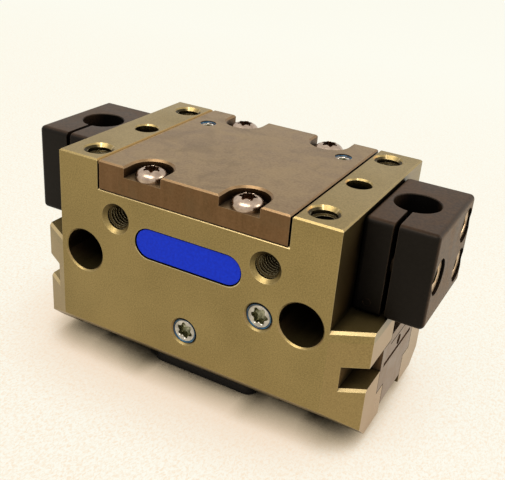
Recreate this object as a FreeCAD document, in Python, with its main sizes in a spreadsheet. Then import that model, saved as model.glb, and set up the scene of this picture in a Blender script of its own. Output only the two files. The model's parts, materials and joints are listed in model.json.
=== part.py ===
import FreeCAD, Part
import os
import Sketcher
from FreeCAD import Placement, Rotation, Vector

# A pneumatic parallel gripper. X is the jaw travel, Y goes from the front to the rear and Z is up,
# with the jaw side down. Z = 0 is the underside of the centre plate, on which the gripper stands.
# Heights named below are measured from the underside of the housing unless the note says otherwise.

doc = FreeCAD.newDocument("gripper")
sheet = doc.addObject("Spreadsheet::Sheet", "sizes")

driving_sizes = (
    ("block_length", 60.8, "upper block along X"),
    ("block_depth", 42.6, "housing along Y"),
    ("housing_height", 44.75, "underside to top of the rails"),
    ("flange_length", 75.0, "jaw flange along X"),
    ("flange_height", 24.9, "top of the flange"),
    ("flange_setback", 4.05, "how far the flange corners are cut back in Y"),
    ("bevel_height", 6.95, "bevel along the lower front and rear edges"),
    ("bevel_depth", 7.4, "the same bevel, along Y"),
    ("edge_break", 0.3, "small chamfer on outer edges"),
    ("flange_break", 0.5, "chamfer on the slanted edges of the flange and of its grooves"),
    ("recess_inner", 19.4, "finger recess in the underside, inner wall from the middle"),
    ("recess_outer", 32.0, "finger recess in the underside, outer wall from the middle"),
    ("groove_height", 5.0, "groove in each end"),
    ("groove_depth", 4.6, "groove in each end, along X"),
    ("rail_width", 9.4, "rail on each side of the back cover"),
    ("cover_thickness", 6.0, "back cover"),
    ("cover_gap", 0.45, "gap between the cover and each rail"),
    ("cover_screw_x", 10.5, "cover screws, from the middle"),
    ("cover_screw_edge", 3.2, "cover screws, from the front and rear faces"),
    ("cover_screw_size", 3.0, "thread of the cover screws"),
    ("cover_screw_grip", 8.0, "length of thread in the housing"),
    ("cover_head_size", 6.2, "head diameter"),
    ("cover_head_height", 2.0, "head height"),
    ("cover_head_crown", 1.2, "chamfer that stands for the round crown of the head"),
    ("pocket_width", 8.4, "screw pocket in the cover"),
    ("pocket_depth", 2.2, "screw pocket in the cover"),
    ("pocket_break", 0.4, "chamfer round the screw pockets"),
    ("cover_plug_x", 16.4, "sealed screws in the cover"),
    ("cover_plug_y", 11.8, "sealed screws in the cover"),
    ("cover_plug_size", 3.4, "sealed screws in the cover"),
    ("cover_plug_length", 3.0, "sealed screws in the cover"),
    ("bore_radius", 13.0, "end radius of the oval cylinder"),
    ("bore_reach", 4.0, "centre of each end radius of the cylinder"),
    ("bore_floor", 21.5, "cylinder floor"),
    ("seal_land", 1.0, "wall between cylinder and cover seal"),
    ("seal_width", 1.4, "cover seal"),
    ("seal_depth", 1.2, "cover seal"),
    ("mount_inset", 3.65, "mounting and dowel holes, from the inner wall of the rail"),
    ("mount_edge", 5.1, "mounting holes, from the front and rear faces"),
    ("mount_size", 5.0, "mounting threads"),
    ("mount_depth", 12.0, "mounting threads"),
    ("mount_sink", 0.7, "countersink of the mounting threads"),
    ("dowel_size", 5.0, "dowel holes in the rails"),
    ("dowel_depth", 8.0, "dowel holes in the rails"),
    ("side_end", 5.7, "side screw bores, from the end face of the block"),
    ("side_z", 24.0, "side screw bores"),
    ("side_sink_size", 9.0, "counterbore of the side screw bores"),
    ("side_sink_depth", 11.0, "counterbore of the side screw bores"),
    ("side_hole", 5.5, "clearance hole of the side screw bores"),
    ("port_x", 16.7, "air ports, from the middle"),
    ("port_z", 33.3, "air ports"),
    ("port_size", 5.0, "air port threads"),
    ("port_depth", 8.0, "air port threads"),
    ("port_sink", 0.75, "countersink of the air ports"),
    ("channel_size", 1.6, "drilled air channels"),
    ("plug_size", 5.0, "sealed screws in the front"),
    ("plug_length", 4.0, "sealed screws in the front"),
    ("plug_sunk", 0.4, "how deep the sealed screws sit"),
    ("plug_sink", 0.5, "countersink round the sealed screws"),
    ("channel_plug_x", 16.1, "sealed screw of the lower air channel"),
    ("channel_plug_z", 22.7, "sealed screw of the lower air channel"),
    ("grease_plug_z", 13.4, "sealed screw of the grease hole, on the middle line"),
    ("label_length", 23.4, "label plate"),
    ("label_height", 6.05, "label plate"),
    ("label_z", 30.2, "middle of the label plate"),
    ("label_thickness", 0.4, "label plate"),
    ("label_rim", 0.3, "gap round the label plate"),
    ("label_sunk", 0.2, "how deep the label plate sits"),
    ("neck_width", 11.8, "jaw neck, along Y"),
    ("neck_bottom", 2.2, "underside of the jaw neck"),
    ("tee_width", 19.3, "jaw tee, along Y"),
    ("tee_bottom", 7.2, "underside of the jaw tee"),
    ("tee_top", 17.3, "top of the jaw tee"),
    ("slide_gap", 0.2, "running gap of the jaws in the T-slot"),
    ("rib_width", 10.8, "switch rib on the jaw end, along Y"),
    ("rib_height", 1.2, "switch rib on the jaw end"),
    ("rib_length", 4.6, "switch rib on the jaw end, along X"),
    ("jaw_stroke", 3.0, "travel of each jaw"),
    ("pad_drop", 1.75, "finger pad below the housing"),
    ("pad_gap", 0.3, "gap between finger pad and centre plate, jaws closed"),
    ("pad_length", 18.0, "finger pad along X"),
    ("finger_pitch", 10.0, "finger screws along X"),
    ("finger_size", 4.0, "finger threads"),
    ("finger_depth", 8.0, "finger threads"),
    ("key_width", 3.0, "key groove across the finger pad"),
    ("key_depth", 0.8, "key groove across the finger pad"),
    ("target_size", 2.0, "screw in the jaw end"),
    ("target_length", 4.0, "screw in the jaw end"),
    ("target_rise", 0.2, "scribed groove to the hole of the screw in the jaw end"),
    ("mark_z", 12.3, "scribed groove in the jaw end"),
    ("mark_width", 16.0, "scribed groove in the jaw end"),
    ("mark_height", 0.9, "scribed groove in the jaw end"),
    ("mark_depth", 0.4, "scribed grooves in the jaw end"),
    ("line_rise", 0.5, "hole of the screw in the jaw end to the fine line above it"),
    ("line_width", 10.4, "fine line above the screw in the jaw end"),
    ("line_height", 0.25, "fine line above the screw in the jaw end"),
    ("wedge_slope", 0.6, "jaw travel for each unit of piston travel"),
    ("wedge_half", 5.0, "half length of the wedge at its middle height"),
    ("wedge_bottom", 2.5, "underside of the wedge, jaws open"),
    ("wedge_height", 9.5, "wedge"),
    ("wedge_depth", 15.0, "wedge along Y"),
    ("wedge_gap", 0.3, "gap between the wedge and the jaws"),
    ("hook_neck", 2.0, "neck of each hook, along X"),
    ("hook_neck_width", 5.0, "neck of each hook, along Y"),
    ("hook_head", 2.5, "head of each hook, along X"),
    ("hook_head_width", 8.4, "head of each hook, along Y"),
    ("hook_gap", 0.15, "gap round the hooks"),
    ("tip_height", 2.9, "upright stretch at the jaw's inner end"),
    ("window_margin", 0.8, "gap round the wedge in the underside"),
    ("rod_size", 12.0, "piston rod"),
    ("rod_gap", 0.15, "radial gap of the rod in its bush"),
    ("bush_size", 16.0, "rod bush"),
    ("bush_flange", 19.0, "flange of the rod bush"),
    ("bush_flange_height", 2.0, "flange of the rod bush"),
    ("rod_seal_width", 1.45, "rod seal"),
    ("rod_seal_height", 1.5, "rod seal"),
    ("piston_lift", 0.3, "piston above the bush flange, jaws open"),
    ("piston_height", 8.2, "piston"),
    ("piston_gap", 0.3, "gap of the piston in the cylinder"),
    ("piston_seal_gap", 0.2, "gap of the piston seal in the cylinder"),
    ("piston_seal_width", 0.9, "depth of the seal groove"),
    ("piston_seal_height", 1.8, "seal groove"),
    ("piston_land", 0.9, "land on each side of the seal groove"),
    ("piston_screw_size", 5.0, "screw that holds the piston"),
    ("piston_screw_grip", 10.0, "length of that screw in the rod"),
    ("piston_head_size", 8.5, "its head diameter"),
    ("piston_head_height", 3.5, "its head height"),
    ("plate_length", 24.6, "centre plate along X"),
    ("plate_depth", 26.6, "centre plate along Y"),
    ("plate_thickness", 2.75, "centre plate, and the height of the housing above the table"),
    ("plate_corner", 2.0, "corner radius of the centre plate"),
    ("plate_edge", 0.3, "chamfered lower edge of the centre plate"),
    ("plate_screw_x", 9.3, "screws of the centre plate"),
    ("plate_screw_y", 10.6, "screws of the centre plate"),
    ("plate_screw_size", 2.0, "screws of the centre plate"),
    ("plate_screw_grip", 4.0, "length of those screws in the housing"),
    ("plate_head_size", 3.8, "their head diameter"),
    ("plate_head_height", 1.3, "their head height"),
    ("plate_head_sunk", 0.2, "how deep their heads sit"),
    ("bracket_length", 13.9, "sensor bracket along X"),
    ("bracket_depth", 23.6, "sensor bracket along Y"),
    ("bracket_lift", 0.1, "gap between the bracket and the flange"),
    ("bracket_height", 19.0, "sensor bracket"),
    ("bracket_edge", 1.0, "edge radius of the sensor bracket"),
    ("sensor_reach", 6.0, "switch bore from the end face of the block"),
    ("sensor_size", 9.0, "switch bore"),
    ("sensor_sink", 0.15, "chamfer of the switch bore"),
    ("notch_lip", 0.5, "flange left standing between the block and the switch notch"),
    ("clamp_slot", 1.0, "slot of the sensor clamp"),
    ("clamp_y", 7.7, "clamp screw, in front of the switch bore"),
    ("bracket_screw_y", 7.9, "bracket screws, behind the switch bore"),
    ("bracket_screw_pitch", 8.6, "bracket screws, one above the other"),
    ("bracket_screw_size", 4.0, "clamp and bracket screws"),
    ("bracket_screw_grip", 5.0, "length of the bracket screws in the block"),
    ("bracket_head_size", 6.8, "head diameter of clamp and bracket screws"),
    ("bracket_head_height", 3.2, "head height of clamp and bracket screws"),
    ("bracket_head_sunk", 0.5, "how deep those heads sit"),
    ("clamp_grip", 4.0, "length of the clamp screw past the slot"),
    ("hole_gap", 0.1, "radial gap of a screw or insert in its hole"),
)

for row, (name, value, note) in enumerate(driving_sizes, 1):
    sheet.set(f"A{row}", name)
    sheet.set(f"B{row}", str(value))
    sheet.setAlias(f"B{row}", name)
    sheet.set(f"C{row}", note)
doc.recompute()

# Heights and places that several pieces share, as expressions on the sheet
half_block = "sizes.block_length / 2"
half_depth = "sizes.block_depth / 2"
half_flange = "sizes.flange_length / 2"
rail_wall = f"({half_block} - sizes.rail_width)"
half_cover = f"({rail_wall} - sizes.cover_gap)"
mount_x = f"({rail_wall} + sizes.mount_inset)"
mount_y = f"({half_depth} - sizes.mount_edge)"
side_x = f"({half_block} - sizes.side_end)"
cover_screw_y = f"({half_depth} - sizes.cover_screw_edge)"
pad_inner = "(sizes.plate_length / 2 + sizes.jaw_stroke + sizes.pad_gap)"
cover_seat = "(sizes.housing_height - sizes.cover_thickness)"
pocket_floor = "(sizes.housing_height - sizes.pocket_depth)"
slot_top = "(sizes.tee_top + sizes.slide_gap)"
slot_bottom = "(sizes.tee_bottom - sizes.slide_gap)"
wedge_top = "(sizes.wedge_bottom + sizes.wedge_height)"
piston_bottom = "(sizes.bore_floor + sizes.bush_flange_height + sizes.piston_lift)"
piston_top = f"({piston_bottom} + sizes.piston_height)"
land_radius = "(sizes.bore_radius - sizes.piston_gap)"
core_radius = f"({land_radius} - sizes.piston_seal_width)"
bush_bottom = f"({slot_top} + sizes.hole_gap)"
bracket_bottom = "(sizes.flange_height + sizes.bracket_lift)"
bracket_middle = f"({bracket_bottom} + sizes.bracket_height / 2)"
bracket_outer = f"({half_block} + sizes.bracket_length)"
sensor_x = f"({half_block} + sizes.sensor_reach)"
head_seat = "(sizes.bracket_head_height + sizes.bracket_head_sunk)"
port_end = f"({half_depth} - sizes.port_depth)"
plug_hole_depth = "(sizes.plug_length + sizes.plug_sunk)"
target_radius = "(sizes.target_size / 2 + sizes.hole_gap)"
target_z = f"(sizes.mark_z + sizes.mark_height + sizes.target_rise + {target_radius})"
line_z = f"({target_z} + {target_radius} + sizes.line_rise)"
same_place = 1e-4


def flank(height, extra="0"):
    slope = f"sizes.wedge_slope * (({height}) - sizes.wedge_bottom - sizes.wedge_height / 2)"
    return f"(sizes.wedge_half + {slope} + ({extra}))"


def scaled(factor, value):
    return f"{factor} * ({value})"


def add_body(label, turn=0):
    body = doc.addObject("PartDesign::Body", label)
    body.Label = label
    body.Placement = Placement(Vector(), Rotation(Vector(0, 0, 1), turn))
    body.setExpression("Placement.Base.z", "sizes.plate_thickness")
    return body


def add_sketch(body, name, plane, offset="0"):
    sketch = body.newObject("Sketcher::SketchObject", name)
    support = [item for item in body.Origin.OriginFeatures if item.Role == plane][0]
    sketch.AttachmentSupport = [(support, "")]
    sketch.MapMode = "FlatFace"
    sketch.setExpression("AttachmentOffset.Base.z", offset)
    return sketch


def bind(sketch, kind, *where_and_value):
    *where, expression = where_and_value
    value = float(sketch.evalExpression(expression))
    index = sketch.addConstraint(Sketcher.Constraint(kind, *where, value))
    sketch.setExpression(f"Constraints[{index}]", expression)


def point_of(sketch, corner):
    return Vector(*(float(sketch.evalExpression(value)) for value in corner), 0)


def polygon(sketch, corners):
    points = [point_of(sketch, corner) for corner in corners]
    first = sketch.GeometryCount
    for start, end in zip(points, points[1:] + points[:1]):
        sketch.addGeometry(Part.LineSegment(start, end))
    for step, (x, y) in enumerate(corners):
        line = first + step
        following = first + (step + 1) % len(corners)
        sketch.addConstraint(Sketcher.Constraint("Coincident", line, 2, following, 1))
        bind(sketch, "DistanceX", line, 1, x)
        bind(sketch, "DistanceY", line, 1, y)


def rectangle(sketch, left, right, low, high):
    polygon(sketch, [(left, low), (right, low), (right, high), (left, high)])


def circles(sketch, centres, diameter):
    radius = float(sketch.evalExpression(diameter)) / 2
    for centre in centres:
        circle = sketch.addGeometry(Part.Circle(point_of(sketch, centre), Vector(0, 0, 1), radius))
        bind(sketch, "DistanceX", circle, 3, centre[0])
        bind(sketch, "DistanceY", circle, 3, centre[1])
        bind(sketch, "Diameter", circle, diameter)


def oval(sketch, centre_a, centre_b, radius):
    # Two half circles joined by straight sides
    a = point_of(sketch, centre_a)
    b = point_of(sketch, centre_b)
    size = float(sketch.evalExpression(radius))
    along = (b - a).normalize() * size
    side = Vector(-along.y, along.x, 0)
    arc_b = sketch.addGeometry(Part.Arc(b - side, b + along, b + side))
    line_back = sketch.addGeometry(Part.LineSegment(b + side, a + side))
    arc_a = sketch.addGeometry(Part.Arc(a + side, a - along, a - side))
    line_out = sketch.addGeometry(Part.LineSegment(a - side, b - side))
    round_trip = (arc_b, line_back, arc_a, line_out)
    for item, following in zip(round_trip, round_trip[1:] + round_trip[:1]):
        sketch.addConstraint(Sketcher.Constraint("Tangent", item, 2, following, 1))
    sketch.addConstraint(Sketcher.Constraint("Equal", arc_a, arc_b))
    for arc, centre in ((arc_a, centre_a), (arc_b, centre_b)):
        bind(sketch, "DistanceX", arc, 3, centre[0])
        bind(sketch, "DistanceY", arc, 3, centre[1])
    bind(sketch, "Radius", arc_a, radius)


def extrude(body, kind, sketch, length=None, symmetric=False, backward=False):
    feature = body.newObject(f"PartDesign::{kind}", f"{sketch.Name}_{kind.lower()}")
    feature.Profile = sketch
    if length is None:
        feature.Type = "ThroughAll"
    else:
        feature.setExpression("Length", length)
    if symmetric:
        feature.SideType = "Symmetric"
    feature.Reversed = backward
    doc.recompute()
    return feature


def pad(body, sketch, length, **options):
    return extrude(body, "Pad", sketch, length, **options)


def pocket(body, sketch, length=None, **options):
    before = body.Shape.Volume
    feature = extrude(body, "Pocket", sketch, length, **options)
    if not body.Shape.Volume < before:
        raise RuntimeError(f"{feature.Name} cuts nothing")
    return feature


def break_edges(body, kind, name, size, wanted):
    # Edges are tested in the body's own frame, from the underside of the housing
    base = body.Tip
    names = [f"Edge{index}" for index, edge in enumerate(base.Shape.Edges, 1) if wanted(edge)]
    feature = body.newObject(f"PartDesign::{kind}", name)
    feature.Base = (base, names)
    feature.setExpression("Size" if kind == "Chamfer" else "Radius", size)
    doc.recompute()
    return feature


def size(expression):
    return float(sheet.evalExpression(expression))


def near(a, b):
    return abs(a - b) < same_place


def rim_test(axis, level, radius, offset=None):
    # Circular edges of one radius on one plane, at one distance from the middle along Y where that is given
    def test(edge):
        if edge.Degenerated or not isinstance(edge.Curve, Part.Circle):
            return False
        centre = edge.Curve.Center
        in_row = offset is None or near(abs(centre.y), offset)
        return in_row and near(edge.Curve.Radius, radius) and near(getattr(centre, axis), level)
    return test


def level_test(level):
    return lambda edge: all(near(vertex.Z, level) for vertex in edge.Vertexes)


def slanted(edge):
    start, end = edge.Vertexes[0].Point, edge.Vertexes[-1].Point
    return not near(start.x, end.x) and not near(start.y, end.y)


def four(x, y):
    return [(scaled(i, x), scaled(j, y)) for i in (-1, 1) for j in (-1, 1)]


def pair(x, y):
    return [(scaled(i, x), y) for i in (-1, 1)]


def both(sketch, shape, corners):
    # The same outline at the right end and mirrored at the left end
    for side in (1, -1):
        shape(sketch, [(scaled(side, x), y) for x, y in corners])


def make_housing():
    body = add_body("housing")
    setback = f"({half_depth} - sizes.flange_setback)"
    corner = [(half_block, scaled(-1, half_depth)), (half_flange, scaled(-1, setback)),
              (half_flange, setback), (half_block, half_depth)]
    flange = add_sketch(body, "flange", "XY_Plane")
    polygon(flange, corner + [(scaled(-1, x), scaled(-1, y)) for x, y in corner])
    pad(body, flange, "sizes.flange_height")
    block = add_sketch(body, "block", "XY_Plane")
    rectangle(block, scaled(-1, half_block), half_block, scaled(-1, half_depth), half_depth)
    pad(body, block, "sizes.housing_height")

    recess = add_sketch(body, "cover_recess", "XZ_Plane")
    rectangle(recess, scaled(-1, rail_wall), rail_wall, cover_seat, "sizes.housing_height")
    pocket(body, recess, symmetric=True)
    on_seat = level_test(size(cover_seat))
    on_ledge = level_test(size("sizes.flange_height"))
    break_edges(body, "Chamfer", "top_edges", "sizes.edge_break", level_test(size("sizes.housing_height")))
    break_edges(body, "Chamfer", "seat_edges", "sizes.edge_break",
                lambda edge: on_seat(edge) and near(abs(edge.CenterOfMass.y), size(half_depth)))
    break_edges(body, "Chamfer", "flange_edges", "sizes.flange_break",
                lambda edge: on_ledge(edge) and slanted(edge))

    bevels = add_sketch(body, "bevels", "YZ_Plane")
    foot = f"({half_depth} - sizes.bevel_depth)"
    both(bevels, polygon, [(half_depth, "0"), (half_depth, "sizes.bevel_height"), (foot, "0")])
    pocket(body, bevels, symmetric=True)
    recesses = add_sketch(body, "finger_recesses", "XZ_Plane")
    inner, outer, roof = "sizes.recess_inner", "sizes.recess_outer", "sizes.neck_bottom"
    both(recesses, polygon, [(inner, "0"), (outer, "0"), (outer, roof), (inner, roof)])
    pocket(body, recesses, symmetric=True)

    neck = "(sizes.neck_width / 2 + sizes.slide_gap)"
    tee = "(sizes.tee_width / 2 + sizes.slide_gap)"
    profile = [(neck, "0"), (neck, slot_bottom), (tee, slot_bottom), (tee, slot_top)]
    tee_slot = add_sketch(body, "tee_slot", "YZ_Plane")
    polygon(tee_slot, profile + [(scaled(-1, y), z) for y, z in reversed(profile)])
    pocket(body, tee_slot, symmetric=True)

    groove_wall = f"({half_flange} - sizes.groove_depth)"
    groove_bottom = f"({slot_top} - sizes.groove_height)"
    grooves = add_sketch(body, "end_grooves", "XZ_Plane")
    both(grooves, polygon, [(groove_wall, groove_bottom), (half_flange, groove_bottom),
                            (half_flange, slot_top), (groove_wall, slot_top)])
    pocket(body, grooves, symmetric=True)
    on_groove = level_test(size(groove_bottom))
    break_edges(body, "Chamfer", "groove_edges", "sizes.flange_break",
                lambda edge: on_groove(edge) and slanted(edge))

    rib_end = f"({half_flange} - sizes.rib_length - sizes.jaw_stroke - sizes.wedge_gap)"
    rib_roof = f"({slot_top} + sizes.rib_height + sizes.slide_gap)"
    notch_wall = f"({half_block} + sizes.notch_lip)"
    notches = add_sketch(body, "switch_notches", "XZ_Plane")
    both(notches, polygon, [(rib_end, slot_top), (half_flange, slot_top),
                            (half_flange, "sizes.flange_height"), (notch_wall, "sizes.flange_height"),
                            (notch_wall, rib_roof), (rib_end, rib_roof)])
    pocket(body, notches, "sizes.rib_width + 2 * sizes.slide_gap", symmetric=True)

    ends = (("-sizes.bore_reach", "0"), ("sizes.bore_reach", "0"))
    cylinder = add_sketch(body, "cylinder", "XY_Plane", cover_seat)
    oval(cylinder, *ends, "sizes.bore_radius")
    pocket(body, cylinder, f"{cover_seat} - sizes.bore_floor")
    ring = add_sketch(body, "seal_groove", "XY_Plane", cover_seat)
    oval(ring, *ends, "sizes.bore_radius + sizes.seal_land")
    oval(ring, *ends, "sizes.bore_radius + sizes.seal_land + sizes.seal_width")
    pocket(body, ring, "sizes.seal_depth")
    bush = add_sketch(body, "bush_bore", "XY_Plane", "sizes.bore_floor")
    circles(bush, [("0", "0")], "sizes.bush_size + 2 * sizes.hole_gap")
    pocket(body, bush, f"sizes.bore_floor - {slot_top}")

    window_x = f"({flank(wedge_top)} + sizes.window_margin)"
    window_y = "(sizes.wedge_depth / 2 + sizes.window_margin)"
    window = add_sketch(body, "wedge_window", "XY_Plane")
    rectangle(window, scaled(-1, window_x), window_x, scaled(-1, window_y), window_y)
    pocket(body, window, slot_bottom, backward=True)

    drill_rails(body)
    drill_front(body)
    drill_ends(body)


def drill(body, name, plane, offset, centres, diameter, depth=None, **options):
    sketch = add_sketch(body, name, plane, offset)
    circles(sketch, centres, diameter)
    pocket(body, sketch, depth, **options)


def drill_rails(body):
    top = "sizes.housing_height"
    level = size(top)
    drill(body, "cover_threads", "XY_Plane", cover_seat, four("sizes.cover_screw_x", cover_screw_y),
          "sizes.cover_screw_size + 2 * sizes.hole_gap", "sizes.cover_screw_grip + sizes.hole_gap")
    drill(body, "mount_threads", "XY_Plane", top, four(mount_x, mount_y),
          "sizes.mount_size", "sizes.mount_depth")
    break_edges(body, "Chamfer", "mount_rims", "sizes.mount_sink",
                rim_test("z", level, size("sizes.mount_size / 2"), size(mount_y)))
    drill(body, "dowel_holes", "XY_Plane", top, pair(mount_x, "0"), "sizes.dowel_size", "sizes.dowel_depth")
    break_edges(body, "Chamfer", "dowel_rims", "sizes.edge_break",
                rim_test("z", level, size("sizes.dowel_size / 2"), 0))
    drill(body, "plate_threads", "XY_Plane", "0", four("sizes.plate_screw_x", "sizes.plate_screw_y"),
          "sizes.plate_screw_size + 2 * sizes.hole_gap", "sizes.plate_screw_grip + sizes.hole_gap",
          backward=True)


def drill_front(body):
    face = -size(half_depth)
    sides = pair(side_x, "sizes.side_z")
    drill(body, "side_holes", "XZ_Plane", "0", sides, "sizes.side_hole", symmetric=True)
    drill(body, "front_sinks", "XZ_Plane", half_depth, sides, "sizes.side_sink_size", "sizes.side_sink_depth")
    drill(body, "rear_sinks", "XZ_Plane", f"-{half_depth}", sides, "sizes.side_sink_size",
          "sizes.side_sink_depth", backward=True)
    sink_radius = size("sizes.side_sink_size / 2")
    front_rims = rim_test("y", face, sink_radius)
    rear_rims = rim_test("y", -face, sink_radius)
    break_edges(body, "Chamfer", "side_rims", "sizes.edge_break",
                lambda edge: front_rims(edge) or rear_rims(edge))

    drill(body, "ports", "XZ_Plane", half_depth, pair("sizes.port_x", "sizes.port_z"),
          "sizes.port_size", "sizes.port_depth")
    break_edges(body, "Chamfer", "port_rims", "sizes.port_sink",
                rim_test("y", face, size("sizes.port_size / 2")))
    plugs = [("sizes.channel_plug_x", "sizes.channel_plug_z"), ("0", "sizes.grease_plug_z")]
    drill(body, "plug_holes", "XZ_Plane", half_depth, plugs, "sizes.plug_size + 2 * sizes.hole_gap",
          plug_hole_depth)
    break_edges(body, "Chamfer", "plug_rims", "sizes.plug_sink",
                rim_test("y", face, size("sizes.plug_size / 2 + sizes.hole_gap")))

    plug_end = f"({half_depth} - {plug_hole_depth})"
    drill(body, "upper_channel", "XZ_Plane", port_end, [("-sizes.port_x", "sizes.port_z")],
          "sizes.channel_size", port_end)
    drill(body, "lower_channel", "XZ_Plane", plug_end, plugs[:1], "sizes.channel_size", plug_end)
    drill(body, "grease_channel", "XZ_Plane", plug_end, plugs[1:], "sizes.channel_size",
          f"{plug_end} - sizes.neck_width / 2")
    drill(body, "cross_channel", "XY_Plane", "sizes.port_z",
          [("sizes.channel_plug_x", f"-{port_end} - sizes.channel_size")],
          "sizes.channel_size", "sizes.port_z - sizes.channel_plug_z")

    label = add_sketch(body, "label_recess", "XZ_Plane", half_depth)
    label_oval(label, "sizes.label_rim")
    pocket(body, label, "sizes.label_thickness + sizes.label_sunk")


def label_oval(sketch, margin):
    reach = "(sizes.label_length - sizes.label_height) / 2"
    oval(sketch, (f"-{reach}", "sizes.label_z"), (reach, "sizes.label_z"),
         f"sizes.label_height / 2 + {margin}")


def bracket_screw_spots():
    return [("sizes.bracket_screw_y", f"{bracket_middle} + {step} * sizes.bracket_screw_pitch / 2")
            for step in (-1, 1)]


def drill_ends(body):
    for sign in (1, -1):
        drill(body, "bracket_threads", "YZ_Plane", scaled(sign, half_block), bracket_screw_spots(),
              "sizes.bracket_screw_size + 2 * sizes.hole_gap", "sizes.bracket_screw_grip + sizes.hole_gap",
              backward=sign < 0)


def make_cover():
    body = add_body("back_cover")
    outline = add_sketch(body, "cover_outline", "XY_Plane", cover_seat)
    rectangle(outline, scaled(-1, half_cover), half_cover, scaled(-1, half_depth), half_depth)
    pad(body, outline, "sizes.cover_thickness")
    break_edges(body, "Chamfer", "cover_edges", "sizes.edge_break", level_test(size("sizes.housing_height")))
    pockets = add_sketch(body, "screw_pockets", "XY_Plane", "sizes.housing_height")
    past_edge = f"({half_depth} + sizes.pocket_width / 2)"
    screws = four("sizes.cover_screw_x", cover_screw_y)
    for screw, beyond in zip(screws, four("sizes.cover_screw_x", past_edge)):
        oval(pockets, screw, beyond, "sizes.pocket_width / 2")
    pocket(body, pockets, "sizes.pocket_depth")
    break_edges(body, "Chamfer", "pocket_rims", "sizes.pocket_break",
                rim_test("z", size("sizes.housing_height"), size("sizes.pocket_width / 2")))
    drill(body, "cover_holes", "XY_Plane", pocket_floor, screws,
          "sizes.cover_screw_size + 2 * sizes.hole_gap")
    drill(body, "cover_plug_holes", "XY_Plane", "sizes.housing_height",
          pair("sizes.cover_plug_x", "sizes.cover_plug_y"), "sizes.cover_plug_size + 2 * sizes.hole_gap",
          "sizes.cover_plug_length + sizes.plug_sunk")


def make_ring(label, offset, inner, outer, height):
    # A seal that follows the oval of the cylinder
    body = add_body(label)
    ring = add_sketch(body, f"{label}_ring", "XY_Plane", offset)
    for radius in (inner, outer):
        oval(ring, ("-sizes.bore_reach", "0"), ("sizes.bore_reach", "0"), radius)
    pad(body, ring, height)


def make_screws(label, plane, seat, centres, head_size, head_height, shank_size, length, backward=False):
    # The seat is the plane under the heads, which stand on the side that the plane faces
    body = add_body(label)
    body.AllowCompound = True
    head = add_sketch(body, f"{label}_heads", plane, seat)
    circles(head, centres, head_size)
    pad(body, head, head_height, backward=backward)
    shank = add_sketch(body, f"{label}_shanks", plane, seat)
    circles(shank, centres, shank_size)
    pad(body, shank, length, backward=not backward)
    return body


def make_inserts(label, plane, offset, centres, diameter, length, backward=False):
    # Headless screws, sunk in their holes
    body = add_body(label)
    body.AllowCompound = True
    sketch = add_sketch(body, f"{label}_rounds", plane, offset)
    circles(sketch, centres, diameter)
    pad(body, sketch, length, backward=backward)


def make_cover_fasteners():
    body = make_screws("cover_screws", "XY_Plane", pocket_floor, four("sizes.cover_screw_x", cover_screw_y),
                       "sizes.cover_head_size", "sizes.cover_head_height", "sizes.cover_screw_size",
                       f"{pocket_floor} - {cover_seat} + sizes.cover_screw_grip")
    crown = size(f"{pocket_floor} + sizes.cover_head_height")
    break_edges(body, "Chamfer", "head_crowns", "sizes.cover_head_crown",
                rim_test("z", crown, size("sizes.cover_head_size / 2")))
    make_inserts("cover_plugs", "XY_Plane", "sizes.housing_height - sizes.plug_sunk",
                 pair("sizes.cover_plug_x", "sizes.cover_plug_y"), "sizes.cover_plug_size",
                 "sizes.cover_plug_length", backward=True)


def make_piston():
    body = add_body("piston")
    ends = (("-sizes.bore_reach", "0"), ("sizes.bore_reach", "0"))
    core = add_sketch(body, "piston_core", "XY_Plane", piston_bottom)
    oval(core, *ends, core_radius)
    pad(body, core, "sizes.piston_height")
    for level in ("0", "(sizes.piston_land + sizes.piston_seal_height)"):
        land = add_sketch(body, "piston_land", "XY_Plane", f"{piston_bottom} + {level}")
        oval(land, *ends, land_radius)
        pad(body, land, "sizes.piston_land")
    middle = [("0", "0")]
    drill(body, "piston_hole", "XY_Plane", piston_top, middle, "sizes.piston_screw_size + 2 * sizes.hole_gap")
    drill(body, "piston_sink", "XY_Plane", piston_top, middle, "sizes.piston_head_size + 2 * sizes.hole_gap",
          "sizes.piston_head_height + sizes.hole_gap")
    make_ring("piston_seal", f"{piston_bottom} + sizes.piston_land + sizes.hole_gap / 2",
              f"{core_radius} + sizes.hole_gap / 2", "sizes.bore_radius - sizes.piston_seal_gap",
              "sizes.piston_seal_height - sizes.hole_gap")
    seat = f"({piston_top} - sizes.piston_head_height - sizes.hole_gap)"
    make_screws("piston_screw", "XY_Plane", seat, middle, "sizes.piston_head_size",
                "sizes.piston_head_height", "sizes.piston_screw_size",
                f"{seat} - {piston_bottom} + sizes.piston_screw_grip")


def hook_outline(low, high, inner, outer):
    # A slanted band between two distances from the wedge's flank
    return [(flank(low, inner), low), (flank(low, outer), low),
            (flank(high, outer), high), (flank(high, inner), high)]


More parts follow.
